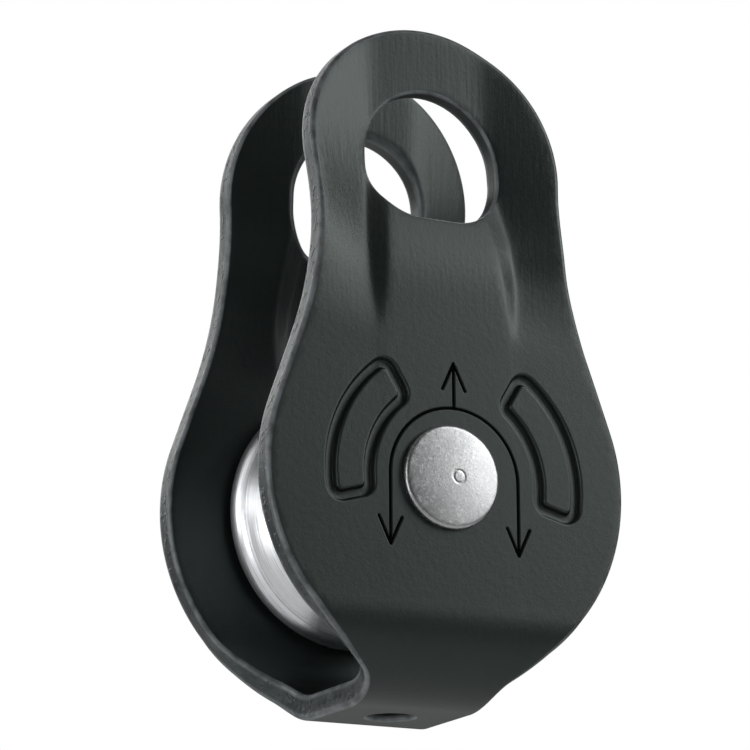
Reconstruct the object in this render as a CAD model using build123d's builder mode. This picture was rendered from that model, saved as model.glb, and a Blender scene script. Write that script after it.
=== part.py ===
from build123d import *
import math
import os

# Single sheave block: one bent strip for both side plates, a riveted axle and a plain-bearing sheave.
# Millimetres. +Z up, +Y along the axle, origin at the centre of the base.
os.makedirs("parts", exist_ok=True)

# Driving dimensions
axle_z = 25.0
half_width = 15.0
sheet = 3.0
bend_r = 10.0

# Side plate outline, seen along the axle
lobe_r = 22.65
flank_deg = 19.6
waist_r = 48.0
top_r = 16.15
top_z = axle_z + 39.05
neck_half = 7.8
neck_fillet = 3.5
drain_r = 2.75
rim_round = 0.6

# Attachment eye
eye_half = 8.5
eye_shift = 0.25
eye_top = axle_z + 47.3
eye_low = axle_z + 31.1
eye_corner = 6.3

# Joggle that brings the upper plates together, one row per height above the axle: how far in
# the middle panel is, how far in the crease is, the crease's distance from the centreline,
# the width of the groove's inner wall, and how far in the plate would be at half_span
half_span = 24.0
levels = [
    (9.0, 0.02, 0.03, 9.0, 0.6, 0.0),
    (14.0, 0.03, 0.06, 8.9, 0.6, 0.0),
    (17.0, 0.05, 0.12, 8.95, 0.7, 0.0),
    (20.0, 0.1, 0.5, 9.2, 1.3, -0.3),
    (24.0, 0.31, 1.1, 9.45, 2.0, -0.8),
    (30.0, 1.68, 2.65, 9.1, 2.4, -2.0),
    (36.0, 3.53, 4.1, 8.3, 2.6, -1.2),
    (42.0, 4.4, 4.55, 7.65, 2.6, 0.4),
    (49.0, 4.76, 4.83, 7.5, 2.6, 1.3),
    (58.0, 4.94, 5.0, 7.4, 2.6, 1.6),
]

# Axle stack
shank_r = 5.0
head_r = 6.0
head_t = 1.2
punch_r = 0.8
punch_depth = 0.1
punch_x = 0.6
sleeve_r = 6.5
bush_in_r = 6.55
bush_out_r = 7.5
washer_out_r = 9.0
washer_t = 0.8
end_play = 0.05

# Sheave
sheave_r = 15.5
root_r = 10.5
rim_t = 2.0
face_relief = 0.4
face_round = 0.4

# Engraving on the outer faces
mark_depth = 0.3
mark_shift = 0.65
mark_width = 0.38
arc_r = 8.15
leg_drop = 8.2
rise_z = 13.4
barb_len = 3.1
barb_half = 1.45
kidney_out_r = 16.35
kidney_in_r = 10.2
kidney_shift = 0.8
kidney_low_deg = -15.5
kidney_top_deg = 59
kidney_corner = 1.7
channel_w = 1.35
channel_depth = 0.7

inner_half = half_width - sheet
sheave_half = inner_half - washer_t - 2 * end_play

# Waist arc: tangent to the straight flank and to the upper circle
flank_s = math.sin(math.radians(flank_deg))
flank_c = math.cos(math.radians(flank_deg))
rise = top_z - axle_z
u_sum = lobe_r + waist_r
v_sum = top_r + waist_r
qa = flank_s**2 / flank_c**2 + 1.0
qb = -2.0 * u_sum * flank_s / flank_c**2 - 2.0 * rise
qc = u_sum**2 / flank_c**2 + rise**2 - v_sum**2
waist_cz = (-qb - math.sqrt(qb**2 - 4.0 * qa * qc)) / (2.0 * qa)
waist_cx = (u_sum - waist_cz * flank_s) / flank_c

# Points of the right-hand side, relative to the axle
p_lobe = (lobe_r * flank_c, lobe_r * flank_s)
p_low = (waist_cx - waist_r * flank_c, waist_cz - waist_r * flank_s)
p_top = (waist_cx * top_r / v_sum, rise + (waist_cz - rise) * top_r / v_sum)
p_mid = (waist_cx - waist_r, waist_cz)
neck_x = 13.2
neck_z = -math.sqrt(lobe_r**2 - neck_x**2)
neck_slope = neck_x / -neck_z
corner_z = neck_z - (neck_x - neck_half) * neck_slope

# Outline of the plates as a prism along the axle
with BuildPart() as outline:
    with BuildSketch(Plane.XZ):
        with Locations((0, axle_z)):
            Circle(lobe_r)
        with Locations((0, top_z)):
            Circle(top_r)
        with BuildLine():
            Line((0, axle_z), (p_lobe[0], axle_z + p_lobe[1]))
            Line((p_lobe[0], axle_z + p_lobe[1]), (p_low[0], axle_z + p_low[1]))
            ThreePointArc(
                (p_low[0], axle_z + p_low[1]),
                (p_mid[0], axle_z + p_mid[1]),
                (p_top[0], axle_z + p_top[1]),
            )
            Line((p_top[0], axle_z + p_top[1]), (0, top_z))
            Line((0, top_z), (0, axle_z))
        make_face()
        with BuildLine():
            Polyline(
                (0, axle_z),
                (neck_x, axle_z + neck_z),
                (neck_half, axle_z + corner_z),
                (neck_half, -5),
                (0, -5),
                close=True,
            )
        make_face()
        mirror(about=Plane.YZ)
    extrude(amount=half_width, both=True)
    neck_edges = outline.edges().filter_by(Axis.Y)
    neck_edges = neck_edges.filter_by_position(Axis.Z, axle_z + corner_z - 0.2, axle_z + corner_z + 0.2)
    fillet(neck_edges, radius=neck_fillet)
    for end in (0, -1):
        rim = outline.faces().filter_by(Axis.Y).sort_by(Axis.Y)[end].edges()
        fillet(rim.filter_by_position(Axis.Z, -4, 100), radius=rim_round)

# The bent strip: floor, two bends, two legs
with BuildPart() as frame:
    with BuildSketch(Plane.YZ):
        with BuildLine():
            Line((0, 0), (half_width - bend_r, 0))
            RadiusArc((half_width - bend_r, 0), (half_width, bend_r), -bend_r)
            Line((half_width, bend_r), (half_width, axle_z + levels[0][0]))
            Line((half_width, axle_z + levels[0][0]), (inner_half, axle_z + levels[0][0]))
            Line((inner_half, axle_z + levels[0][0]), (inner_half, bend_r))
            RadiusArc((inner_half, bend_r), (half_width - bend_r, sheet), bend_r - sheet)
            Line((half_width - bend_r, sheet), (0, sheet))
            Line((0, sheet), (0, 0))
        make_face()
        mirror(about=Plane.YZ)
    extrude(amount=half_span, both=True)
    # Upper legs: each a loft through trough-shaped sections
    for side in (-1, 1):
        sections = []
        for height, dip, dent, crease, wall, tip in levels:
            level = Plane(origin=(0, 0, axle_z + height), x_dir=(1, 0, 0), z_dir=(0, 0, 1))
            panel = crease - wall
            with BuildSketch(level) as section:
                with BuildLine():
                    Polyline(
                        (-half_span, side * (half_width - tip)),
                        (-crease, side * (half_width - dent)),
                        (-panel, side * (half_width - dip)),
                        (panel, side * (half_width - dip)),
                        (crease, side * (half_width - dent)),
                        (half_span, side * (half_width - tip)),
                        (half_span, side * (inner_half - tip)),
                        (crease, side * (inner_half - dent)),
                        (panel, side * (inner_half - dip)),
                        (-panel, side * (inner_half - dip)),
                        (-crease, side * (inner_half - dent)),
                        (-half_span, side * (inner_half - tip)),
                        close=True,
                    )
                make_face()
            sections.append(section.sketch)
        loft(sections=sections)
    add(outline.part, mode=Mode.INTERSECT)

# Cutter for the attachment eye: a round top on a flat, round-cornered bottom
eye_left = eye_shift - eye_half
eye_right = eye_shift + eye_half
eye_side = eye_top - eye_half
with BuildPart() as eye_cut:
    with BuildSketch(Plane.XZ) as eye:
        with BuildLine():
            Line((eye_left, eye_low), (eye_right, eye_low))
            Line((eye_right, eye_low), (eye_right, eye_side))
            ThreePointArc((eye_right, eye_side), (eye_shift, eye_top), (eye_left, eye_side))
            Line((eye_left, eye_side), (eye_left, eye_low))
        make_face()
        fillet(eye.vertices().group_by(Axis.Y)[0], radius=eye_corner)
    extrude(amount=30, both=True)

# Cutter for one face's engraving: two load arrows down, one up
with BuildPart() as arrow_cut:
    with BuildSketch(Plane.XZ):
        with BuildLine():
            RadiusArc((mark_shift - arc_r, axle_z), (mark_shift + arc_r, axle_z), arc_r)
        trace(line_width=mark_width)
        for x in (mark_shift - arc_r, mark_shift + arc_r):
            with BuildLine():
                Line((x, axle_z), (x, axle_z - leg_drop))
            trace(line_width=mark_width)
            with BuildLine():
                Polyline(
                    (x - barb_half, axle_z - leg_drop + barb_len),
                    (x, axle_z - leg_drop),
                    (x + barb_half, axle_z - leg_drop + barb_len),
                )
            trace(line_width=mark_width)
        with BuildLine():
            Line((mark_shift, axle_z + arc_r), (mark_shift, axle_z + rise_z))
        trace(line_width=mark_width)
        with BuildLine():
            Polyline(
                (mark_shift - barb_half, axle_z + rise_z - barb_len),
                (mark_shift, axle_z + rise_z),
                (mark_shift + barb_half, axle_z + rise_z - barb_len),
            )
        trace(line_width=mark_width)
    extrude(amount=half_width + 2)
    with BuildSketch(Plane.XZ):
        with Locations((0, axle_z)):
            Rectangle(60, 60)
    extrude(amount=half_width - mark_depth, mode=Mode.SUBTRACT)

# Kidney blank and its level island: a sector of a ring on each side of the axle
with BuildPart() as kidney_cut:
    with BuildSketch(Plane.XZ) as kidney:
        with Locations((kidney_shift, axle_z)):
            Circle(kidney_out_r)
            Circle(kidney_in_r, mode=Mode.SUBTRACT)
        with BuildLine():
            Polyline(
                (kidney_shift, axle_z),
                (kidney_shift + 40, axle_z + 40 * math.tan(math.radians(kidney_low_deg))),
                (kidney_shift + 40, axle_z + 40 * math.tan(math.radians(kidney_top_deg))),
                close=True,
            )
        make_face(mode=Mode.INTERSECT)
        fillet(kidney.vertices(), radius=kidney_corner)
    extrude(amount=half_width + 2)
    with BuildSketch(Plane.XZ) as island:
        add(kidney.sketch_local)
        offset(amount=-channel_w, mode=Mode.REPLACE)
    extrude(amount=half_width + 2, mode=Mode.SUBTRACT)
    with BuildSketch(Plane.XZ):
        with Locations((0, axle_z)):
            Rectangle(60, 60)
    extrude(amount=half_width - channel_depth, mode=Mode.SUBTRACT)

# Finish the frame: eye, drain hole, axle bore, engraving on both faces
with BuildPart() as cuts:
    add(arrow_cut.part)
    add(kidney_cut.part)
    mirror(kidney_cut.part, about=Plane(origin=(kidney_shift, 0, 0), z_dir=(1, 0, 0)))
    mirror(about=Plane.XZ)

with BuildPart() as side_plates:
    add(frame.part)
    add(eye_cut.part, mode=Mode.SUBTRACT)
    with Locations(Location((0, 0, axle_z), (90, 0, 0))):
        Cylinder(shank_r, 4 * half_width, mode=Mode.SUBTRACT)
    Cylinder(drain_r, 4 * sheet, mode=Mode.SUBTRACT)
    add(cuts.part, mode=Mode.SUBTRACT)

# Ring cut by the riveting tool
with BuildPart() as punch:
    Cylinder(punch_r, 2 * punch_depth)
    Cylinder(punch_r - 0.25, 2 * punch_depth, mode=Mode.SUBTRACT)

# Axle rivet: shank through both plates, a low domed head at each end
with BuildPart() as axle:
    with BuildSketch(Plane.YZ):
        with BuildLine():
            Polyline(
                (0, axle_z),
                (0, axle_z + shank_r),
                (half_width, axle_z + shank_r),
                (half_width, axle_z + head_r),
                (half_width + head_t - 0.55, axle_z + head_r),
            )
            ThreePointArc(
                (half_width + head_t - 0.55, axle_z + head_r),
                (half_width + head_t - 0.2, axle_z + head_r - 0.2),
                (half_width + head_t - 0.06, axle_z + head_r - 0.6),
            )
            Line((half_width + head_t - 0.06, axle_z + head_r - 0.6), (half_width + head_t, axle_z))
            Line((half_width + head_t, axle_z), (0, axle_z))
        make_face()
        mirror(about=Plane.YZ)
    revolve(axis=Axis((0, 0, axle_z), (0, 1, 0)), revolution_arc=360)
    # Faint centre mark left by the riveting tool, a little off the axis
    for end in (-half_width - head_t, half_width + head_t):
        with Locations(Location((punch_x, end, axle_z), (90, 0, 0))):
            add(punch.part, mode=Mode.SUBTRACT)

# Sleeve that keeps the plates apart when the axle is riveted
with BuildPart() as sleeve:
    with Locations(Location((0, 0, axle_z), (90, 0, 0))):
        Cylinder(sleeve_r, 2 * inner_half)
        Cylinder(shank_r, 2 * inner_half, mode=Mode.SUBTRACT)

# Plain bearing bush, pressed into the sheave
with BuildPart() as bush:
    with Locations(Location((0, 0, axle_z), (90, 0, 0))):
        Cylinder(bush_out_r, 2 * sheave_half)
        Cylinder(bush_in_r, 2 * sheave_half, mode=Mode.SUBTRACT)

# Sheave: rounded rims, round rope groove, hub faces proud of the flanges
groove_half = sheave_half - face_relief - rim_t
flange_x = sheave_half - face_relief
groove_arc_r = (groove_half**2 + (sheave_r - root_r) ** 2) / (2 * (sheave_r - root_r))
with BuildPart() as sheave:
    with BuildSketch(Plane.YZ):
        with BuildLine():
            Polyline(
                (0, axle_z + bush_out_r),
                (sheave_half, axle_z + bush_out_r),
                (sheave_half, axle_z + washer_out_r + 0.3),
                (flange_x, axle_z + washer_out_r + 0.7),
                (flange_x, axle_z + sheave_r - face_round),
            )
            RadiusArc(
                (flange_x, axle_z + sheave_r - face_round),
                (flange_x - face_round, axle_z + sheave_r),
                -face_round,
            )
            Line((flange_x - face_round, axle_z + sheave_r), (groove_half, axle_z + sheave_r))
            RadiusArc((groove_half, axle_z + sheave_r), (0, axle_z + root_r), groove_arc_r)
            Line((0, axle_z + root_r), (0, axle_z + bush_out_r))
        make_face()
        mirror(about=Plane.YZ)
    revolve(axis=Axis((0, 0, axle_z), (0, 1, 0)), revolution_arc=360)

# Thrust washers between the hub and each plate
with BuildPart() as washer_front:
    with Locations(Location((0, -inner_half + end_play + washer_t / 2, axle_z), (90, 0, 0))):
        Cylinder(washer_out_r, washer_t)
        Cylinder(bush_in_r, washer_t, mode=Mode.SUBTRACT)

with BuildPart() as washer_rear:
    with Locations(Location((0, inner_half - end_play - washer_t / 2, axle_z), (90, 0, 0))):
        Cylinder(washer_out_r, washer_t)
        Cylinder(bush_in_r, washer_t, mode=Mode.SUBTRACT)

side_plates.part.label = "frame"
export_step(side_plates.part, "parts/frame.step")
axle.part.label = "axle"
export_step(axle.part, "parts/axle.step")
sleeve.part.label = "sleeve"
export_step(sleeve.part, "parts/sleeve.step")
bush.part.label = "bush"
export_step(bush.part, "parts/bush.step")
sheave.part.label = "sheave"
export_step(sheave.part, "parts/sheave.step")
washer_front.part.label = "washer_front"
export_step(washer_front.part, "parts/washer_front.step")
washer_rear.part.label = "washer_rear"
export_step(washer_rear.part, "parts/washer_rear.step")
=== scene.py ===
import math

import bmesh
import bpy
import numpy as np
from mathutils import Matrix, Vector
from mathutils.geometry import delaunay_2d_cdt
from mathutils.kdtree import KDTree


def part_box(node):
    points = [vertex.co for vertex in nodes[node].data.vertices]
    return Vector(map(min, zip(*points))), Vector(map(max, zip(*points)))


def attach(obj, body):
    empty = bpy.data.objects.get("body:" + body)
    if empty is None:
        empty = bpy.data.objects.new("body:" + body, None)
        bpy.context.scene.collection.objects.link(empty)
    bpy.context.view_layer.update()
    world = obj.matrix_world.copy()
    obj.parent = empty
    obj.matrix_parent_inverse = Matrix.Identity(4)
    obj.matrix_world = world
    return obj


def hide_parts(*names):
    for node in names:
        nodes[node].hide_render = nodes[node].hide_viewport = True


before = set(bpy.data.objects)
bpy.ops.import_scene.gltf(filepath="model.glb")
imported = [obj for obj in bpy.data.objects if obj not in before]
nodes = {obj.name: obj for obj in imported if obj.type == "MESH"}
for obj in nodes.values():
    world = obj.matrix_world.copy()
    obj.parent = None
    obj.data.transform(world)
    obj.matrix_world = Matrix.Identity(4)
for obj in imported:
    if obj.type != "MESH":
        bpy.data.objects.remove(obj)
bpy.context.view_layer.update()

MM = 0.001

# ---------------------------------------------------------------- sizes read from the frame, mm


def corners(node):
    """Low and high corner of a CAD node's box."""
    return [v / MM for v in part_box(node)]


plate_high = corners("frame")[1]
axle_low, axle_high = corners("axle")
sheave_high = corners("sheave")[1]
bush_high = corners("bush")[1]
sleeve_high = corners("sleeve")[1]
AXLE_Z = (axle_low.z + axle_high.z) / 2
HALF_W = plate_high.y
INNER = sleeve_high.y
SHEET = HALF_W - INNER
LOBE_R = plate_high.x
TOP = plate_high.z - AXLE_Z
HEAD_R = axle_high.x
HEAD_Y = axle_high.y
SHEAVE_R = sheave_high.x
SHEAVE_Y = sheave_high.y
BUSH_R = bush_high.x

# ---------------------------------------------------------------- bent strip, mm, heights above the axle
BEND_R = 10.0
TOP_R = 16.15
TOP_C = TOP - TOP_R
WAIST_R = 48.0
FLANK = math.radians(19.6)
NECK = 7.8
NECK_FILLET = 3.5
NECK_X = 13.2
DRAIN_R = 2.75
BORE_R = 5.0
EYE_HALF = 8.5
EYE_SHIFT = 0.25
EYE_TOP = 47.3
EYE_LOW = 31.1
EYE_CORNER = 6.3
HALF_SPAN = 24.0
# Joggle, one row per height above the axle: how far in the middle panel is, how far in the crease
# is, the crease's distance from the centreline, the groove wall's width, and how far in the plate
# would be at HALF_SPAN
LEVELS = np.array([
    (9.0, 0.02, 0.03, 9.0, 0.6, 0.0),
    (14.0, 0.03, 0.06, 8.9, 0.6, 0.0),
    (17.0, 0.05, 0.12, 8.95, 0.7, 0.0),
    (20.0, 0.1, 0.5, 9.2, 1.3, -0.3),
    (24.0, 0.31, 1.1, 9.45, 2.0, -0.8),
    (30.0, 1.68, 2.65, 9.1, 2.4, -2.0),
    (36.0, 3.53, 4.1, 8.3, 2.6, -1.2),
    (42.0, 4.4, 4.55, 7.65, 2.6, 0.4),
    (49.0, 4.76, 4.83, 7.5, 2.6, 1.3),
    (58.0, 4.94, 5.0, 7.4, 2.6, 1.6),
])
# rounding of the folds, and how much more there is from SOFT_FROM up
CREASE_SOFT, SOFT_MORE, SOFT_FROM, SOFT_OVER = 0.22, 0.5, 40, 9
# the right-hand groove is shallower by this share between two heights, fading over EASY_OVER
EASY, EASY_SIDE, EASY_LOW, EASY_HIGH, EASY_OVER = 0.45, 2, 24, 42, 5
GRID = 0.8
MID_R = BEND_R - SHEET / 2
FLAT = HALF_W - BEND_R
S_LEG = FLAT + MID_R * math.pi / 2


def spline_rows(h, table):
    """Natural cubic through the table's rows, held constant below the first."""
    x, rows = table[:, 0], table[:, 1:]
    n = len(x)
    dx = np.diff(x)
    a = np.zeros((n, n))
    b = np.zeros((n, rows.shape[1]))
    a[0, 0] = a[-1, -1] = 1
    for i in range(1, n - 1):
        a[i, i - 1:i + 2] = dx[i - 1], 2 * (dx[i - 1] + dx[i]), dx[i]
        b[i] = 6 * ((rows[i + 1] - rows[i]) / dx[i] - (rows[i] - rows[i - 1]) / dx[i - 1])
    m = np.linalg.solve(a, b)
    h = np.clip(h, x[0], x[-1])
    k = np.clip(np.searchsorted(x, h) - 1, 0, n - 2)
    w = dx[k][:, None]
    u = ((h - x[k]) / dx[k])[:, None]
    v = 1 - u
    return v * rows[k] + u * rows[k + 1] + w**2 / 6 * ((v**3 - v) * m[k] + (u**3 - u) * m[k + 1])


def smooth(u):
    """Eases from 0 to 1."""
    u = np.clip(u, 0, 1)
    return u * u * (3 - 2 * u)


def soft_ramp(u, width):
    """0 below u = 0 and u above it, with a rounded knee."""
    return width * np.logaddexp(0, u / width)


def set_in(x, h):
    """How far the plate's face sits in from its lobe's plane."""
    dip, dent, crease, wall, tip = spline_rows(h, LEVELS).T
    panel = crease - wall
    fade = smooth((h - EASY_LOW) / EASY_OVER) * smooth((EASY_HIGH - h) / EASY_OVER)
    easy = EASY * smooth(x / EASY_SIDE) * fade
    dent = dent - easy * (dent - dip)
    first = (dent - dip) / wall
    second = (tip - dent) / (HALF_SPAN - crease)
    ax = np.abs(x)
    soft = CREASE_SOFT + SOFT_MORE * smooth((h - SOFT_FROM) / SOFT_OVER)
    return dip + first * soft_ramp(ax - panel, soft) + (second - first) * soft_ramp(ax - crease, soft)


def fold(p, depth):
    """A flat (x, s) point with its depth under the outer face, folded onto the U strip."""
    x, s = p[:, 0], p[:, 1]
    a = np.abs(s)
    sign = np.where(s < 0, -1.0, 1.0)
    turn = np.clip((a - FLAT) / MID_R, 0, math.pi / 2)
    r = BEND_R - depth
    y = np.where(a <= FLAT, a, FLAT + r * np.sin(turn))
    z = np.where(a <= FLAT, depth, BEND_R - r * np.cos(turn))
    h = BEND_R + a - S_LEG - AXLE_Z
    leg = a > S_LEG
    y = np.where(leg, HALF_W - set_in(x, h) - depth, y)
    z = np.where(leg, h + AXLE_Z, z)
    return np.stack([x, sign * y, z], 1)


def flat_s(z):
    """Height above the base to distance along the strip from its middle."""
    bend = FLAT + MID_R * np.arccos(np.clip((BEND_R - z) / MID_R, -1, 1))
    return np.where(z >= BEND_R, z - BEND_R + S_LEG, bend)


def arc(cx, cy, r, a0, a1, step=0.5):
    """Points along an arc from angle a0 to a1."""
    n = max(3, int(abs(a1 - a0) * r / step) + 1)
    t = np.linspace(a0, a1, n)
    return np.stack([cx + r * np.cos(t), cy + r * np.sin(t)], 1)


def resample(loop, step):
    """Even points round a closed loop."""
    p = np.vstack([loop, loop[:1]])
    d = np.r_[0, np.cumsum(np.hypot(*np.diff(p, axis=0).T))]
    n = int(round(d[-1] / step))
    t = np.linspace(0, d[-1], n, endpoint=False)
    return np.stack([np.interp(t, d, p[:, 0]), np.interp(t, d, p[:, 1])], 1)


def outline_half():
    """Right-hand edge of one plate from the floor up to the top, as (x, height above the base)."""
    co, si = math.cos(FLANK), math.sin(FLANK)
    u, v = LOBE_R + WAIST_R, TOP_R + WAIST_R
    qa = si**2 / co**2 + 1
    qb = -2 * u * si / co**2 - 2 * TOP_C
    qc = u**2 / co**2 + TOP_C**2 - v**2
    wz = (-qb - math.sqrt(qb**2 - 4 * qa * qc)) / (2 * qa)
    wx = (u - wz * si) / co
    nz = -math.sqrt(LOBE_R**2 - NECK_X**2)
    tilt = math.atan2(NECK_X, -nz)
    corner = nz - (NECK_X - NECK) * math.tan(tilt)
    back = NECK_FILLET * math.tan((math.pi / 2 - tilt) / 2)
    fx, fz = NECK + NECK_FILLET, corner - back
    parts = [
        arc(fx, fz, NECK_FILLET, math.pi, math.pi / 2 + tilt, 0.3),
        arc(0, 0, LOBE_R, math.atan2(nz, NECK_X), FLANK),
        arc(wx, wz, WAIST_R, math.pi + FLANK, math.atan2(TOP_C - wz, -wx) % (2 * math.pi)),
        arc(0, TOP_C, TOP_R, math.atan2(wz - TOP_C, wx), math.pi / 2),
    ]
    p = np.vstack(parts)
    return p + (0, AXLE_Z)


def strip_outline():
    """The whole flat strip's edge, as (x, s)."""
    right = outline_half()
    right = np.stack([right[:, 0], flat_s(right[:, 1])], 1)
    low = np.array([(NECK, t) for t in np.arange(0, right[0, 1] - 0.2, 0.5)])
    right = np.vstack([low, right])
    down = right[1:][::-1] * (1, -1)
    side = np.vstack([down, right])
    return np.vstack([side, side[1:-1][::-1] * (-1, 1)])


def eye_loop():
    """One eye's edge on the flat strip, as (x, s)."""
    low, mid = EYE_LOW, EYE_TOP - EYE_HALF
    p = np.vstack([
        arc(EYE_HALF - EYE_CORNER, low + EYE_CORNER, EYE_CORNER, -math.pi / 2, 0),
        arc(0, mid, EYE_HALF, 0, math.pi),
        arc(-EYE_HALF + EYE_CORNER, low + EYE_CORNER, EYE_CORNER, math.pi, 1.5 * math.pi),
    ])
    return np.stack([p[:, 0] + EYE_SHIFT, flat_s(p[:, 1] + AXLE_Z)], 1)


def circle(cx, cy, r, step=0.5):
    return arc(cx, cy, r, 0, 2 * math.pi, step)[:-1]


def grow(loop, d):
    """Loop moved sideways by d, to its left."""
    t = np.roll(loop, -1, 0) - np.roll(loop, 1, 0)
    t /= np.hypot(*t.T)[:, None]
    return loop + d * np.stack([-t[:, 1], t[:, 0]], 1)


def near(p, a, b):
    """Distance from each point to the nearest of the segments a-b."""
    best = np.full(len(p), 1e9)
    d = b - a
    size = np.maximum((d**2).sum(1), 1e-12)
    for i in range(0, len(p), 2000):
        q = p[i:i + 2000, None] - a[None]
        t = np.clip((q * d).sum(2) / size, 0, 1)
        best[i:i + 2000] = np.sqrt(((q - t[..., None] * d)**2).sum(2).min(1))
    return best


def inside(p, loop):
    """Which points lie inside a closed loop."""
    x, y = p[:, 0][:, None], p[:, 1][:, None]
    a, b = loop, np.roll(loop, -1, 0)
    cross = (a[:, 1] > y) != (b[:, 1] > y)
    rise = np.where(b[:, 1] == a[:, 1], 1e-12, b[:, 1] - a[:, 1])
    xi = a[:, 0] + (y - a[:, 1]) * (b[:, 0] - a[:, 0]) / rise
    return (cross & (x < xi)).sum(1) % 2 == 1


def signed(p, loop):
    """Distance from a closed loop, positive inside it."""
    d = near(p, loop, np.roll(loop, -1, 0))
    return np.where(inside(p, loop), d, -d)


# ---------------------------------------------------------------- engraving, in (x, height above the axle)
SHIFT = 0.65
ARC_R = 8.15
LEG = 8.2
RISE = 13.4
BARB = 3.1
BARB_HALF = 1.45
LINE_HALF = 0.21
LINE_DEEP = 0.36
KID_OUT, KID_IN = 16.35, 10.2
KID_LOW, KID_TOP = math.radians(-15.5), math.radians(59)
KID_CORNER = 1.9
KID_SHIFT = 0.8
CHANNEL, CHANNEL_DEEP = 1.35, 0.7
WALL_START, WALL_WIDE = 0.1, 0.42
MARK_REACH = 20


def kidney_loop(sign):
    """Outer edge of a kidney channel: a sector of a ring with round corners."""
    c = KID_CORNER
    out, inn = KID_OUT - c, KID_IN + c
    da, db = math.asin(c / out), math.asin(c / inn)
    lo, hi = KID_LOW, KID_TOP
    c1 = (out * math.cos(lo + da), out * math.sin(lo + da))
    c2 = (out * math.cos(hi - da), out * math.sin(hi - da))
    c3 = (inn * math.cos(hi - db), inn * math.sin(hi - db))
    c4 = (inn * math.cos(lo + db), inn * math.sin(lo + db))
    p = np.vstack([
        arc(*c1, c, lo - math.pi / 2, lo + da, 0.25),
        arc(0, 0, KID_OUT, lo + da, hi - da, 0.35),
        arc(*c2, c, hi - da, hi + math.pi / 2, 0.25),
        arc(*c3, c, hi + math.pi / 2, hi + math.pi - db, 0.25),
        arc(0, 0, KID_IN, hi - db, lo + db, 0.35),
        arc(*c4, c, lo + math.pi + db, lo + 1.5 * math.pi, 0.25),
    ])
    p = resample(p, 0.33)
    p[:, 0] *= sign
    return p[::int(sign)] + (KID_SHIFT, 0)


def line_points(*pts, step=0.3):
    """Even points along straight segments."""
    out = []
    for a, b in zip(pts[:-1], pts[1:]):
        n = max(2, int(math.dist(a, b) / step) + 1)
        out.append(np.linspace(a, b, n))
    return np.vstack(out)


def capsule(line, d):
    """Closed loop at distance d round an open line."""
    t = np.gradient(line, axis=0)
    t /= np.maximum(np.hypot(*t.T), 1e-9)[:, None]
    side = d * np.stack([-t[:, 1], t[:, 0]], 1)
    heads = []
    for k, way in ((-1, 1), (0, -1)):
        a = math.atan2(way * t[k, 1], way * t[k, 0])
        heads.append(arc(*line[k], d, a + math.pi / 2, a - math.pi / 2, 0.12)[1:-1])
    return np.vstack([line + side, heads[0], (line - side)[::-1], heads[1]])


def strokes():
    """Centre lines of the load arrows: the arch, the arrow up and the barbs."""
    left, right = SHIFT - ARC_R, SHIFT + ARC_R
    round_top = arc(SHIFT, 0, ARC_R, math.pi, 0, 0.3)
    left_leg = line_points((left, -LEG), (left, 0))[:-1]
    right_leg = line_points((right, 0), (right, -LEG))[1:]
    made = [np.vstack([left_leg, round_top, right_leg]), line_points((SHIFT, ARC_R), (SHIFT, RISE))]
    for x, z, way in ((left, -LEG, 1), (right, -LEG, 1), (SHIFT, RISE, -1)):
        for side in (-1, 1):
            made.append(line_points((x + side * BARB_HALF, z + way * BARB), (x, z)))
    return made


STROKES = strokes()
KIDNEYS = [kidney_loop(1.0), kidney_loop(-1.0)]


def engraved(p):
    """Depth of the engraving at points (x, height above the axle), and how far down a stroke they are."""
    deep, stroke_shade = np.zeros(len(p)), np.zeros(len(p))
    zone = (np.abs(p[:, 0]) < MARK_REACH) & (np.abs(p[:, 1]) < MARK_REACH)
    q = p[zone]
    a = np.vstack([s[:-1] for s in STROKES])
    b = np.vstack([s[1:] for s in STROKES])
    stroke = np.clip(1 - near(q, a, b) / LINE_HALF, 0, 1)
    d = LINE_DEEP * stroke
    for loop in KIDNEYS:
        s = signed(q, loop)
        u = np.clip(np.minimum(s + WALL_START, CHANNEL + WALL_START - s) / WALL_WIDE, 0, 1)
        d = np.maximum(d, CHANNEL_DEEP * (0.5 - 0.5 * np.cos(math.pi * u)))
    deep[zone], stroke_shade[zone] = d, stroke
    return deep, stroke_shade


# ---------------------------------------------------------------- mesh helpers
def new_mesh(name, verts, faces):
    """A smooth-shaded object from vertices in millimetres."""
    me = bpy.data.meshes.new(name)
    me.from_pydata([tuple(v * MM) for v in verts], [], faces)
    me.polygons.foreach_set("use_smooth", [True] * len(me.polygons))
    me.validate()
    me.update()
    ob = bpy.data.objects.new(name, me)
    bpy.context.scene.collection.objects.link(ob)
    return ob


def lathe(name, profile, closed, around):
    """Turns (radius, y) points about the axle."""
    n = len(profile)
    t = np.linspace(0, 2 * math.pi, around, endpoint=False)
    verts, rings = [], []
    for r, y in profile:
        if r < 1e-6:
            rings.append([len(verts)] * around)
            verts.append(np.array([0, y, AXLE_Z]))
            continue
        rings.append(list(range(len(verts), len(verts) + around)))
        verts += [np.array([r * math.cos(a), y, AXLE_Z + r * math.sin(a)]) for a in t]
    faces = []
    for i in range(n if closed else n - 1):
        a, b = rings[i], rings[(i + 1) % n]
        for k in range(around):
            m = (k + 1) % around
            f = []
            for v in (a[k], b[k], b[m], a[m]):
                if v not in f:
                    f.append(v)
            if len(f) > 2:
                faces.append(f)
    return new_mesh(name, verts, faces)


def corner(cx, cy, r, a0, a1, n):
    """n points round a profile's corner."""
    return [(cx + r * math.cos(t), cy + r * math.sin(t)) for t in np.linspace(a0, a1, n)]


# ---------------------------------------------------------------- side plate strip
STEPS = 5
ROLL, ROLL_DEEP, ROLL_FROM = 2.4, 0.05, 8
RIM, RIM_MORE, RIM_FROM, RIM_OVER = 0.5, 0.12, 14, 20
WALL_ROWS = 7


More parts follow.
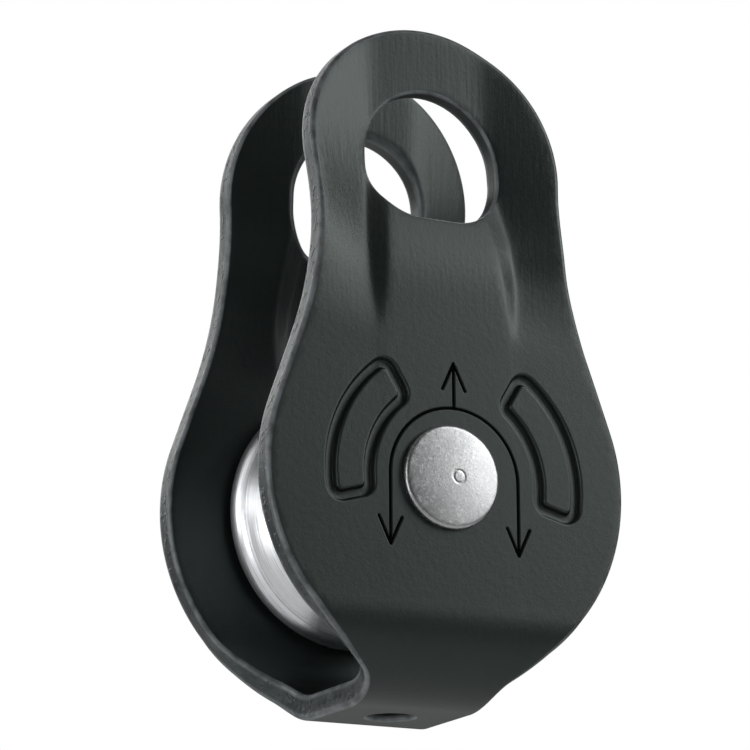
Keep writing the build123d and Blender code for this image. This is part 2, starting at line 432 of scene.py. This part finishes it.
def above_axle(s):
    return BEND_R + np.abs(s) - S_LEG - AXLE_Z


def rim_outer(s):
    """The outer rim's rounding grows from the round lobes to the eye end."""
    return RIM + RIM_MORE * smooth((above_axle(s) - RIM_FROM) / RIM_OVER)


def constant(value):
    return lambda s: np.full(np.shape(s), value)


def quarter():
    """Insets from the edge along a quarter round, as shares of its radius."""
    t = np.linspace(0, math.pi / 2, STEPS + 1)
    return 1 - np.cos(t)


def kd(points):
    """Search tree of flat points."""
    tree = KDTree(len(points))
    for i, p in enumerate(points):
        tree.insert((p[0], p[1], 0), i)
    tree.balance()
    return tree


def far_from(tree, points, gap):
    return np.array([tree.find((p[0], p[1], 0))[2] > gap for p in points])


def borders():
    """Every edge of the flat strip, with the material on its left: loop, outer and inner rounding."""
    edge = resample(strip_outline(), 0.5)
    if signed(grow(edge, 0.3)[:5], edge).mean() < 0:
        edge = edge[::-1]
    made = [(edge, rim_outer, constant(0.45))]
    for sign in (1, -1):
        made.append((resample(eye_loop(), 0.45) * (1, sign), constant(0.3), constant(0.9)))
        made.append((circle(0, sign * flat_s(np.array([AXLE_Z]))[0], BORE_R), constant(0.06), constant(0.06)))
    made.append((circle(0, 0, DRAIN_R, 0.35), constant(0.4), constant(0.2)))
    out = made[:1]
    for loop, ro, ri in made[1:]:
        if signed(grow(loop, 0.1)[:5], loop).mean() > 0:
            loop = loop[::-1]
        out.append((loop, ro, ri))
    return out


def mark_lines():
    """Guide lines that make the mesh follow the engraving: points, closed or not."""
    lines = []
    for sign in (1, -1):
        for loop in KIDNEYS:
            way = 1 if signed(grow(loop, 0.3)[:3], loop).mean() > 0 else -1
            for d in KIDNEY_GUIDES:
                lines.append((grow(loop, way * d), True, sign))
        for line in STROKES:
            lines.append((line, False, sign))
            lines += [(capsule(line, d), True, sign) for d in (LINE_HALF, LINE_HALF + 0.08)]
    return [(np.stack([p[:, 0], sign * flat_s(p[:, 1] + AXLE_Z)], 1), closed) for p, closed, sign in lines]


# guide loops, as distances in from a kidney's edge
KIDNEY_WALL = np.array([-0.5, -0.3, -0.12, -0.04, 0.04, 0.11, 0.18, 0.26, 0.34])
KIDNEY_GUIDES = (*KIDNEY_WALL, CHANNEL / 2, *(CHANNEL - KIDNEY_WALL))


CREASE_GUIDES = (-0.6, -0.3, -0.12, 0, 0.12, 0.3, 0.6)
PANEL_GUIDES = (-0.3, 0, 0.3)


def crease_points():
    """Close rows of points along the joggle's folds."""
    out = []
    h = np.arange(17.5, TOP, 0.45)
    crease, wall = spline_rows(h, LEVELS)[:, 2:4].T
    for side in (1, -1):
        for end in (1, -1):
            for base, offsets in ((crease, CREASE_GUIDES), (crease - wall, PANEL_GUIDES)):
                for d in offsets:
                    out.append(np.stack([side * (base + d), end * flat_s(h + AXLE_Z)], 1))
    return np.vstack(out)


def strip_face(edges, outer):
    """One face of the flat strip: points, triangles, depth below the plain face, depth in a stroke (drives
    the painted shade in the lines), painted rim highlight.
    """
    verts, cons = [], []

    def add(points, closed):
        k, n = len(verts), len(points)
        verts.extend(map(tuple, points))
        cons.extend((k + i, k + (i + 1) % n) for i in range(n if closed else n - 1))

    for loop, ro, ri in edges:
        r = (ro if outer else ri)(loop[:, 1])
        for share in quarter():
            add(grow(loop, share * r[:, None]), True)
    s_top = flat_s(np.array([AXLE_Z + TOP]))[0]
    rows = np.arange(-s_top, s_top, GRID)
    grid = np.stack(np.meshgrid(np.arange(-LOBE_R, LOBE_R, GRID), rows), -1)
    grid[::2, :, 0] += GRID / 2
    grid = grid.reshape(-1, 2)
    creases = crease_points()
    grid = grid[far_from(kd(creases), grid, 0.28)]
    grid = np.vstack([grid, creases])
    keep = inside(grid, edges[0][0])
    for loop, ro, ri in edges:
        r = (ro if outer else ri)(grid[:, 1])
        keep &= near(grid, loop, np.roll(loop, -1, 0)) > r + 0.3
        if loop is not edges[0][0]:
            keep &= ~inside(grid, loop)
    grid = grid[keep]
    if outer:
        lines = mark_lines()
        for points, closed in lines:
            add(points, closed)
        grid = grid[far_from(kd(np.vstack([p for p, _ in lines])), grid, 0.36)]
    verts.extend(map(tuple, grid))
    out = delaunay_2d_cdt([Vector(v) for v in verts], cons, [], 0, 1e-5, False)
    p = np.array([tuple(v) for v in out[0]])
    tri = np.array([f for f in out[2] if len(f) == 3])
    mid = p[tri].mean(1)
    good = inside(mid, edges[0][0])
    for loop, _, _ in edges[1:]:
        good &= ~inside(mid, loop)
    tri = tri[good]
    e1, e2 = p[tri[:, 1]] - p[tri[:, 0]], p[tri[:, 2]] - p[tri[:, 0]]
    size = e1[:, 0] * e2[:, 1] - e1[:, 1] * e2[:, 0]
    tri[size < 0] = tri[size < 0][:, ::-1]
    tri = tri[np.abs(size) > 1e-9]
    depth, stroke_shade, rim_highlight = np.zeros(len(p)), np.zeros(len(p)), np.zeros(len(p))
    for i, (loop, ro, ri) in enumerate(edges):
        r = (ro if outer else ri)(p[:, 1])
        d = near(p, loop, np.roll(loop, -1, 0))
        u = np.clip(1 - d / r, 0, 1)
        depth = np.maximum(depth, r * (1 - np.sqrt(np.clip(1 - u**2, 0, 1))))
        # painted highlight mask: lighter grey near every edge, on its rounding
        rim_highlight = np.maximum(rim_highlight, smooth(u * 2.5) * np.minimum(1, 0.5 / r))
        if outer and i == 0:
            roll = ROLL_DEEP * smooth((above_axle(p[:, 1]) - ROLL_FROM) / RIM_OVER)
            edge_roll = roll * np.clip(1 - d / ROLL, 0, 1)**2
    if outer:
        leg = np.abs(p[:, 1]) > S_LEG
        deep, stroke_shade = engraved(np.stack([p[:, 0], above_axle(p[:, 1])], 1))
        depth = np.maximum(depth, np.where(leg, deep, 0)) + edge_roll
        stroke_shade = np.where(leg, stroke_shade, 0)
    return p, tri, depth, stroke_shade, rim_highlight


def shear_marks(s, w):
    """Small streaks across the sheared edge, strongest on the neck."""
    waves = enumerate((5.1, 8.3, 12.9, 17.3, 23.0), 1)
    wave = sum(math.sin(1.7 * k) * np.sin(s * f + 2.3 * k + 0.9 * w * k) for k, f in waves)
    strength = 0.012 + 0.05 * smooth((above_axle(s) * -1 - 17) / 4)
    return strength * wave


def build_strip():
    """Both faces, folded onto the U and joined by walls along every edge."""
    edges = borders()
    po, to, do, stroke_shade, rim_highlight_out = strip_face(edges, True)
    pi, ti, di, _, rim_highlight_in = strip_face(edges, False)
    verts = [fold(po, do), fold(pi, SHEET - di)]
    count = len(po)
    total = count + len(pi)
    faces = to[:, ::-1].tolist() + (ti + count).tolist()
    wall = [np.zeros(count), np.zeros(len(pi))]
    trees = kd(po), kd(pi)
    for loop, ro, ri in edges:
        n = len(loop)
        top = [trees[0].find((x, y, 0))[1] for x, y in loop]
        low = [trees[1].find((x, y, 0))[1] for x, y in loop]
        start, stop = do[top], SHEET - di[low]
        rows = [top]
        plain = loop is not edges[0][0]
        for w in np.linspace(0, 1, WALL_ROWS)[1:-1]:
            off = 0 if plain else shear_marks(loop[:, 1], w * 3)[:, None] * math.sin(math.pi * w)
            verts.append(fold(grow(loop, 0.0 if plain else off), start + (stop - start) * w))
            wall.append(np.full(n, 0.5 if plain else 1.0))
            rows.append(list(range(total, total + n)))
            total += n
        rows.append([k + count for k in low])
        for a, b in zip(rows[:-1], rows[1:]):
            faces += [[a[i], b[i], b[(i + 1) % n], a[(i + 1) % n]] for i in range(n)]
        wall[0][top] = wall[1][low] = 0.5 if plain else 1.0
    ob = new_mesh("side_plate_strip", np.vstack(verts), faces)
    face_outward(ob)
    rest = np.zeros(total - count - len(pi))
    masks = {
        "rim": np.concatenate(wall),
        "stroke_shade": np.r_[stroke_shade, np.zeros(total - count)],
        "rim_highlight": np.r_[rim_highlight_out, rim_highlight_in, rest],
    }
    for name, values in masks.items():
        att = ob.data.attributes.new(name, "FLOAT", "POINT")
        att.data.foreach_set("value", values.astype(np.float32))
    return ob


def face_outward(ob):
    bm = bmesh.new()
    bm.from_mesh(ob.data)
    bmesh.ops.recalc_face_normals(bm, faces=bm.faces)
    bm.to_mesh(ob.data)
    bm.free()


strip = build_strip()
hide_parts("frame")
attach(strip, "frame")

# ---------------------------------------------------------------- axle rivet
DOME, DOME_AT_EDGE, HEAD_ROUND = 0.36, 0.31, 0.5
PUNCH_X, PUNCH_R, PUNCH_WIDE, PUNCH_DEEP = 0.6, 0.72, 0.13, 0.05


def head_profile():
    """Half of the rivet as (radius, y): domed head, rounded edge, and the step down into the bore."""
    t = HEAD_Y - HALF_W
    r, e = HEAD_R, HEAD_ROUND
    fine = list(np.arange(0, 2.0, 0.1)) + [2.4, 3.0, 3.6, 4.2, 4.7, 5.1, r - e - 0.1]
    dome = [(q, HALF_W + t - DOME * (q / r)**2) for q in fine]
    side = corner(r - e, HALF_W + t - DOME_AT_EDGE - e, e, math.radians(82), 0, 9)
    under = [(r, HALF_W + 0.12), (r - 0.08, HALF_W)]
    return dome + side + under + [(BORE_R + 0.02, HALF_W - 0.005), (BORE_R, HALF_W - 0.1)]


def punch_mark(ob):
    """Faint ring from the riveting tool, a little off the axis, on both heads."""
    for v in ob.data.vertices:
        if abs(v.co.y) > (HALF_W + 0.9) * MM:
            d = math.hypot(v.co.x / MM - PUNCH_X, v.co.z / MM - AXLE_Z)
            dent = PUNCH_DEEP * math.exp(-((d - PUNCH_R) / PUNCH_WIDE)**2)
            v.co.y -= math.copysign(dent, v.co.y) * MM


prof = head_profile()
full = prof + [(BORE_R, 0.0)] + [(r, -y) for r, y in prof[::-1]]
rivet = lathe("axle_rivet", full, closed=False, around=160)
punch_mark(rivet)
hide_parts("axle")
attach(rivet, "frame")

# ---------------------------------------------------------------- sheave
def sheave_profile():
    """Closed section as (radius, y): hub face, flange, a rim bead running smoothly into the groove, root."""
    rim, deep, bead, edge = SHEAVE_R, 5.0, 3.0, 0.35
    face = SHEAVE_Y - 0.4
    gh = face - 2.0
    gr = (gh**2 + deep**2) / (2 * deep)
    centre = rim - deep + gr
    bead_y = math.sqrt((gr + bead)**2 - (centre - rim + bead)**2)
    ang = math.asin(bead_y / (gr + bead))
    half = [(BUSH_R, 0.0), (BUSH_R, SHEAVE_Y - 0.25), (BUSH_R + 0.25, SHEAVE_Y)]
    half += [(9.2, SHEAVE_Y), (9.3, SHEAVE_Y - 0.03), (9.62, SHEAVE_Y - 0.35), (9.75, face)]
    half += [(11.5, face), (13.4, face), (14.6, face)]
    half += corner(rim - edge, face - edge, edge, math.pi / 2, 0, 7)
    half += corner(rim - bead, bead_y, bead, 0, -ang, 16)
    half += [(centre - gr * math.cos(a), gr * math.sin(a)) for a in np.linspace(ang, 0, 30)[1:]]
    rest = [(r, -y) for r, y in half[::-1]]
    return half + rest[1:-1]


wheel = lathe("sheave_turned", sheave_profile(), closed=True, around=224)
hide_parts("sheave")
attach(wheel, "sheave")


# ---------------------------------------------------------------- materials
class Mat:
    """A Principled material with short ways to add nodes."""

    def __init__(self, name):
        self.mat = bpy.data.materials.new(name)
        self.mat.use_nodes = True
        self.tree = self.mat.node_tree
        self.bsdf = self.tree.nodes["Principled BSDF"]
        self.coord = self.tree.nodes.new("ShaderNodeTexCoord").outputs["Object"]

    def node(self, kind, **sockets):
        n = self.tree.nodes.new(kind)
        for key, value in sockets.items():
            name = key.replace("_", " ")
            if hasattr(n, key) and not name in [s.name for s in n.inputs]:
                setattr(n, key, value)
            else:
                self.put(n.inputs[name], value)
        return n

    def put(self, socket, value):
        if isinstance(value, bpy.types.NodeSocket):
            self.tree.links.new(value, socket)
        else:
            socket.default_value = value

    def noise(self, scale, detail=3.0, rough=0.5, vector=None, stretch=None):
        v = vector or self.coord
        if stretch:
            m = self.node("ShaderNodeMapping")
            m.inputs["Scale"].default_value = stretch
            self.put(m.inputs["Vector"], v)
            v = m.outputs["Vector"]
        n = self.node("ShaderNodeTexNoise")
        n.inputs["Scale"].default_value = scale
        n.inputs["Detail"].default_value = detail
        n.inputs["Roughness"].default_value = rough
        self.put(n.inputs["Vector"], v)
        return n.outputs["Fac"]

    def ramp(self, fac, low, high, a=0.0, b=1.0):
        n = self.node("ShaderNodeMapRange")
        n.clamp = True
        self.put(n.inputs["Value"], fac)
        for key, v in (("From Min", low), ("From Max", high), ("To Min", a), ("To Max", b)):
            self.put(n.inputs[key], v)
        return n.outputs["Result"]

    def math(self, op, a, b=0.0):
        n = self.node("ShaderNodeMath")
        n.operation = op
        self.put(n.inputs[0], a)
        self.put(n.inputs[1], b)
        return n.outputs[0]

    def mix(self, fac, a, b):
        n = self.node("ShaderNodeMix")
        n.data_type = "RGBA"
        self.put(n.inputs[0], fac)
        for k, c in ((6, a), (7, b)):
            if isinstance(c, tuple):
                c = (*c, 1.0)
            self.put(n.inputs[k], c)
        return n.outputs[2]

    def bump(self, height, strength, distance, normal=None):
        n = self.node("ShaderNodeBump")
        n.inputs["Strength"].default_value = strength
        n.inputs["Distance"].default_value = distance
        self.put(n.inputs["Height"], height)
        if normal:
            self.put(n.inputs["Normal"], normal)
        return n.outputs["Normal"]


def plate_material():
    """Black anodising: fine grain, brushed towards the eye, painted highlight on the rim roundings, painted
    shade in the engraved lines.
    """
    m = Mat("anodised_plate")
    b = m.bsdf
    fine = m.noise(5200, 2.0, 0.6)
    grain = m.noise(1500, 3.0, 0.6)
    cloud = m.noise(60, 3.0, 0.55)
    height = m.node("ShaderNodeSeparateXYZ")
    m.put(height.inputs[0], m.coord)
    brush = m.noise(2200, 2.0, 0.5, stretch=(1.0, 1.0, 0.05))
    brush_low, brush_high = (AXLE_Z + 16) * MM, (AXLE_Z + 30) * MM
    brush = m.math("MULTIPLY", brush, m.ramp(height.outputs[2], brush_low, brush_high, 0.15, 1.0))
    rim = m.node("ShaderNodeAttribute", attribute_name="rim").outputs["Fac"]
    base = m.mix(m.ramp(cloud, 0.35, 0.65), (0.004, 0.0065, 0.006), (0.006, 0.009, 0.0085))
    base = m.mix(m.math("MULTIPLY", m.ramp(grain, 0.4, 0.75), 0.35), base, (0.011, 0.015, 0.014))
    edge = m.mix(m.ramp(m.noise(700, 3.0, 0.6), 0.3, 0.7), (0.016, 0.018, 0.02), (0.05, 0.055, 0.058))
    stroke_shade = m.node("ShaderNodeAttribute", attribute_name="stroke_shade").outputs["Fac"]
    # painted shade: the engraved lines are made near black
    base = m.mix(m.ramp(stroke_shade, 0.02, 0.35), base, (0.001, 0.0015, 0.0015))
    base = m.mix(m.ramp(rim, 0.55, 1.0), base, edge)
    # painted highlight: lighter grey on the rim roundings, broken up by noise
    rim_highlight = m.node("ShaderNodeAttribute", attribute_name="rim_highlight").outputs["Fac"]
    rim_highlight = m.math("MULTIPLY", rim_highlight, m.ramp(m.noise(420, 3.0, 0.6), 0.35, 0.6, 0.35, 1.0))
    m.put(b.inputs["Base Color"], m.mix(rim_highlight, base, (0.17, 0.18, 0.19)))
    rough = m.math("MAXIMUM", m.ramp(grain, 0.3, 0.7, 0.32, 0.42), m.ramp(stroke_shade, 0.02, 0.35, 0.4, 0.9))
    m.put(b.inputs["Roughness"], rough)
    b.inputs["Metallic"].default_value = 0.0
    # painted shade: less specular reflection in the engraved lines
    m.put(b.inputs["Specular IOR Level"], m.ramp(stroke_shade, 0.02, 0.35, 0.6, 0.08))
    b.inputs["Specular Tint"].default_value = (0.88, 1.0, 0.965, 1.0)
    n = m.bump(fine, 0.25, 0.00004)
    n = m.bump(grain, 0.25, 0.00008, n)
    n = m.bump(brush, 0.35, 0.00006, n)
    chips = m.noise(1100, 2.0, 0.5)
    n = m.bump(m.math("MULTIPLY", m.ramp(chips, 0.55, 0.75), m.ramp(rim, 0.9, 1.0)), 0.5, 0.0003, n)
    m.put(b.inputs["Normal"], n)
    return m.mat


def radial(m):
    """(radius, y) about the axle as a vector, so patterns run round the axle."""
    sub = m.node("ShaderNodeVectorMath")
    sub.operation = "SUBTRACT"
    m.put(sub.inputs[0], m.coord)
    sub.inputs[1].default_value = (0, 0, AXLE_Z * MM)
    sep = m.node("ShaderNodeSeparateXYZ")
    m.put(sep.inputs[0], sub.outputs[0])
    r = m.math("SQRT", m.math("ADD", m.math("MULTIPLY", sep.outputs[0], sep.outputs[0]),
                              m.math("MULTIPLY", sep.outputs[2], sep.outputs[2])))
    comb = m.node("ShaderNodeCombineXYZ")
    m.put(comb.inputs[0], r)
    m.put(comb.inputs[1], sep.outputs[1])
    return comb.outputs[0], r


def sheave_material():
    m = Mat("turned_aluminium")
    b = m.bsdf
    vec, r = radial(m)
    lines = m.noise(5200, 3.0, 0.6, vector=vec)
    wide = m.noise(1300, 2.0, 0.5, vector=vec)
    spots = m.noise(400, 3.0, 0.6)
    tone = m.mix(m.ramp(wide, 0.3, 0.7), (0.82, 0.84, 0.87), (0.90, 0.915, 0.93))
    streaks = m.math("MULTIPLY", m.ramp(lines, 0.5, 0.62), m.ramp(spots, 0.35, 0.6, 0.35, 1.0))
    m.put(b.inputs["Base Color"], m.mix(m.math("MULTIPLY", streaks, 0.7), tone, (0.34, 0.36, 0.39)))
    b.inputs["Metallic"].default_value = 1.0
    m.put(b.inputs["Roughness"], m.ramp(lines, 0.3, 0.7, 0.28, 0.42))
    n = m.bump(lines, 0.45, 0.00005)
    n = m.bump(wide, 0.2, 0.0001, n)
    m.put(b.inputs["Normal"], n)
    return m.mat


def rivet_material():
    m = Mat("rivet_steel")
    b = m.bsdf
    speck = m.noise(2600, 4.0, 0.7)
    pits = m.noise(4200, 2.0, 0.6)
    cloud = m.noise(260, 4.0, 0.6)
    patch = m.noise(130, 2.0, 0.5)
    tone = m.mix(m.ramp(cloud, 0.3, 0.7), (0.42, 0.43, 0.435), (0.55, 0.56, 0.565))
    tone = m.mix(m.math("MULTIPLY", m.ramp(speck, 0.5, 0.68), 0.7), tone, (0.78, 0.785, 0.79))
    dirt = m.math("MULTIPLY", m.ramp(pits, 0.53, 0.66), m.ramp(patch, 0.42, 0.62, 0.15, 0.85))
    m.put(b.inputs["Base Color"], m.mix(dirt, tone, (0.20, 0.20, 0.19)))
    b.inputs["Metallic"].default_value = 1.0
    m.put(b.inputs["Roughness"], m.ramp(speck, 0.3, 0.7, 0.27, 0.42))
    n = m.bump(speck, 0.2, 0.00004)
    n = m.bump(pits, 0.25, 0.00004, n)
    m.put(b.inputs["Normal"], n)
    return m.mat


def plain_material(name, a, c, metallic, rough):
    m = Mat(name)
    b = m.bsdf
    n1 = m.noise(900, 3.0, 0.6)
    m.put(b.inputs["Base Color"], m.mix(m.ramp(n1, 0.35, 0.65), a, c))
    b.inputs["Metallic"].default_value = metallic
    m.put(b.inputs["Roughness"], m.ramp(n1, 0.3, 0.7, rough - 0.06, rough + 0.06))
    m.put(b.inputs["Normal"], m.bump(n1, 0.3, 0.00006))
    return m.mat


def give(ob, mat):
    ob.data.materials.clear()
    ob.data.materials.append(mat)


give(strip, plate_material())
give(rivet, rivet_material())
give(wheel, sheave_material())
give(nodes["bush"], plain_material("bush_bronze", (0.34, 0.22, 0.11), (0.44, 0.30, 0.16), 1.0, 0.38))
give(nodes["sleeve"], plain_material("sleeve_steel", (0.45, 0.45, 0.45), (0.55, 0.55, 0.56), 1.0, 0.3))
washer = plain_material("washer_plastic", (0.03, 0.03, 0.03), (0.05, 0.05, 0.05), 0.0, 0.45)
give(nodes["washer_front"], washer)
give(nodes["washer_rear"], washer)

# ---------------------------------------------------------------- camera
LOOK = Vector((0.4435, 0.8588, 0.2564)).normalized()
CAMERA_RIGHT = Vector((0.8893, -0.4572, -0.0070)).normalized()
CAMERA_AT = Vector((-0.1863, -0.3624, -0.0923 + AXLE_Z * MM))
cam_data = bpy.data.cameras.new("camera")
cam = bpy.data.objects.new("camera", cam_data)
bpy.context.scene.collection.objects.link(cam)
bpy.context.scene.camera = cam
cam_data.sensor_width = 36.0
cam_data.lens = 172.4
cam_data.clip_end = 20
cam_data.shift_x = -0.0261
cam_data.shift_y = -0.0023
back = -LOOK
up = back.cross(CAMERA_RIGHT).normalized()
right = up.cross(back).normalized()
turned = Matrix((right, up, back)).transposed().to_4x4()
cam.matrix_world = Matrix.Translation(CAMERA_AT) @ turned

# ---------------------------------------------------------------- stage and light
scene = bpy.context.scene
scene.view_settings.view_transform = "Standard"


def studio_world(glow):
    """White to the camera, and nearly dark for light and reflections: the lamps do the lighting."""
    world = bpy.data.worlds.new("studio")
    scene.world = world
    world.use_nodes = True
    tree = world.node_tree
    tree.nodes.clear()
    path = tree.nodes.new("ShaderNodeLightPath")
    mix = tree.nodes.new("ShaderNodeMixShader")
    tree.links.new(path.outputs["Is Camera Ray"], mix.inputs[0])
    for socket, strength in ((1, glow), (2, 1.0)):
        shade = tree.nodes.new("ShaderNodeBackground")
        shade.inputs["Color"].default_value = (1, 1, 1, 1)
        shade.inputs["Strength"].default_value = strength
        tree.links.new(shade.outputs[0], mix.inputs[socket])
    out = tree.nodes.new("ShaderNodeOutputWorld")
    tree.links.new(mix.outputs[0], out.inputs["Surface"])


studio_world(0.03)

floor_me = bpy.data.meshes.new("floor")
FLOOR_Z, FLOOR_R, FLOOR_SIDES = -0.12, 0.9, 128
turns = [2 * math.pi * k / FLOOR_SIDES for k in range(FLOOR_SIDES)]
floor_edge = [(FLOOR_R * math.cos(t), FLOOR_R * math.sin(t), FLOOR_Z) for t in turns]
floor_me.from_pydata(floor_edge, [], [range(FLOOR_SIDES)])
floor = bpy.data.objects.new("floor", floor_me)
scene.collection.objects.link(floor)
floor_mat = Mat("pale_floor")
floor_mat.bsdf.inputs["Base Color"].default_value = (0.8, 0.8, 0.8, 1)
floor_mat.bsdf.inputs["Roughness"].default_value = 0.9
floor_me.materials.append(floor_mat.mat)


# soft boxes: degrees round from the front towards the right, degrees up, size in metres, watts
LIGHT_DISTANCE = 0.42
LIGHT_TARGET = Vector((0, 0, 0.04))
KEY, SIDE, FILL, WEAK = 0.35, 0.25, 0.15, 0.05
LIGHTS = {
    "right_high": (50, 28, 0.14, KEY),
    "right_low": (44, 10, 0.14, FILL),
    "right_top": (54, 46, 0.14, WEAK),
    "front_low": (30, 9, 0.12, WEAK),
    "front_high": (30, 28, 0.14, WEAK),
    "front_top": (34, 46, 0.14, FILL),
    "left_front": (-62, 13, 0.10, FILL),
    "left_low": (-76, -10, 0.12, SIDE),
    "left_side": (-105, 8, 0.20, KEY),
    "left_high": (-105, 35, 0.20, FILL),
    "back_left": (-150, 25, 0.20, FILL),
    "back": (-175, 15, 0.25, SIDE),
    "back_right": (140, 25, 0.30, KEY),
}


def soft_box(name, around, up, size, power, distance=LIGHT_DISTANCE):
    """A square light aimed at the part and not seen by the camera."""
    a, e = math.radians(around), math.radians(up)
    way = Vector((math.sin(a) * math.cos(e), -math.cos(a) * math.cos(e), math.sin(e)))
    data = bpy.data.lights.new(name, "AREA")
    data.size, data.energy = size, power
    ob = bpy.data.objects.new(name, data)
    scene.collection.objects.link(ob)
    ob.location = LIGHT_TARGET + way * distance
    ob.rotation_euler = (-way).to_track_quat("-Z", "Y").to_euler()
    ob.visible_camera = False


for name, values in LIGHTS.items():
    soft_box(name, *values)
soft_box("ceiling", 0, 90, 2.6, 3.0, distance=2.0)
soft_box("back_fill", 165, 35, 1.2, 5.0, distance=1.6)
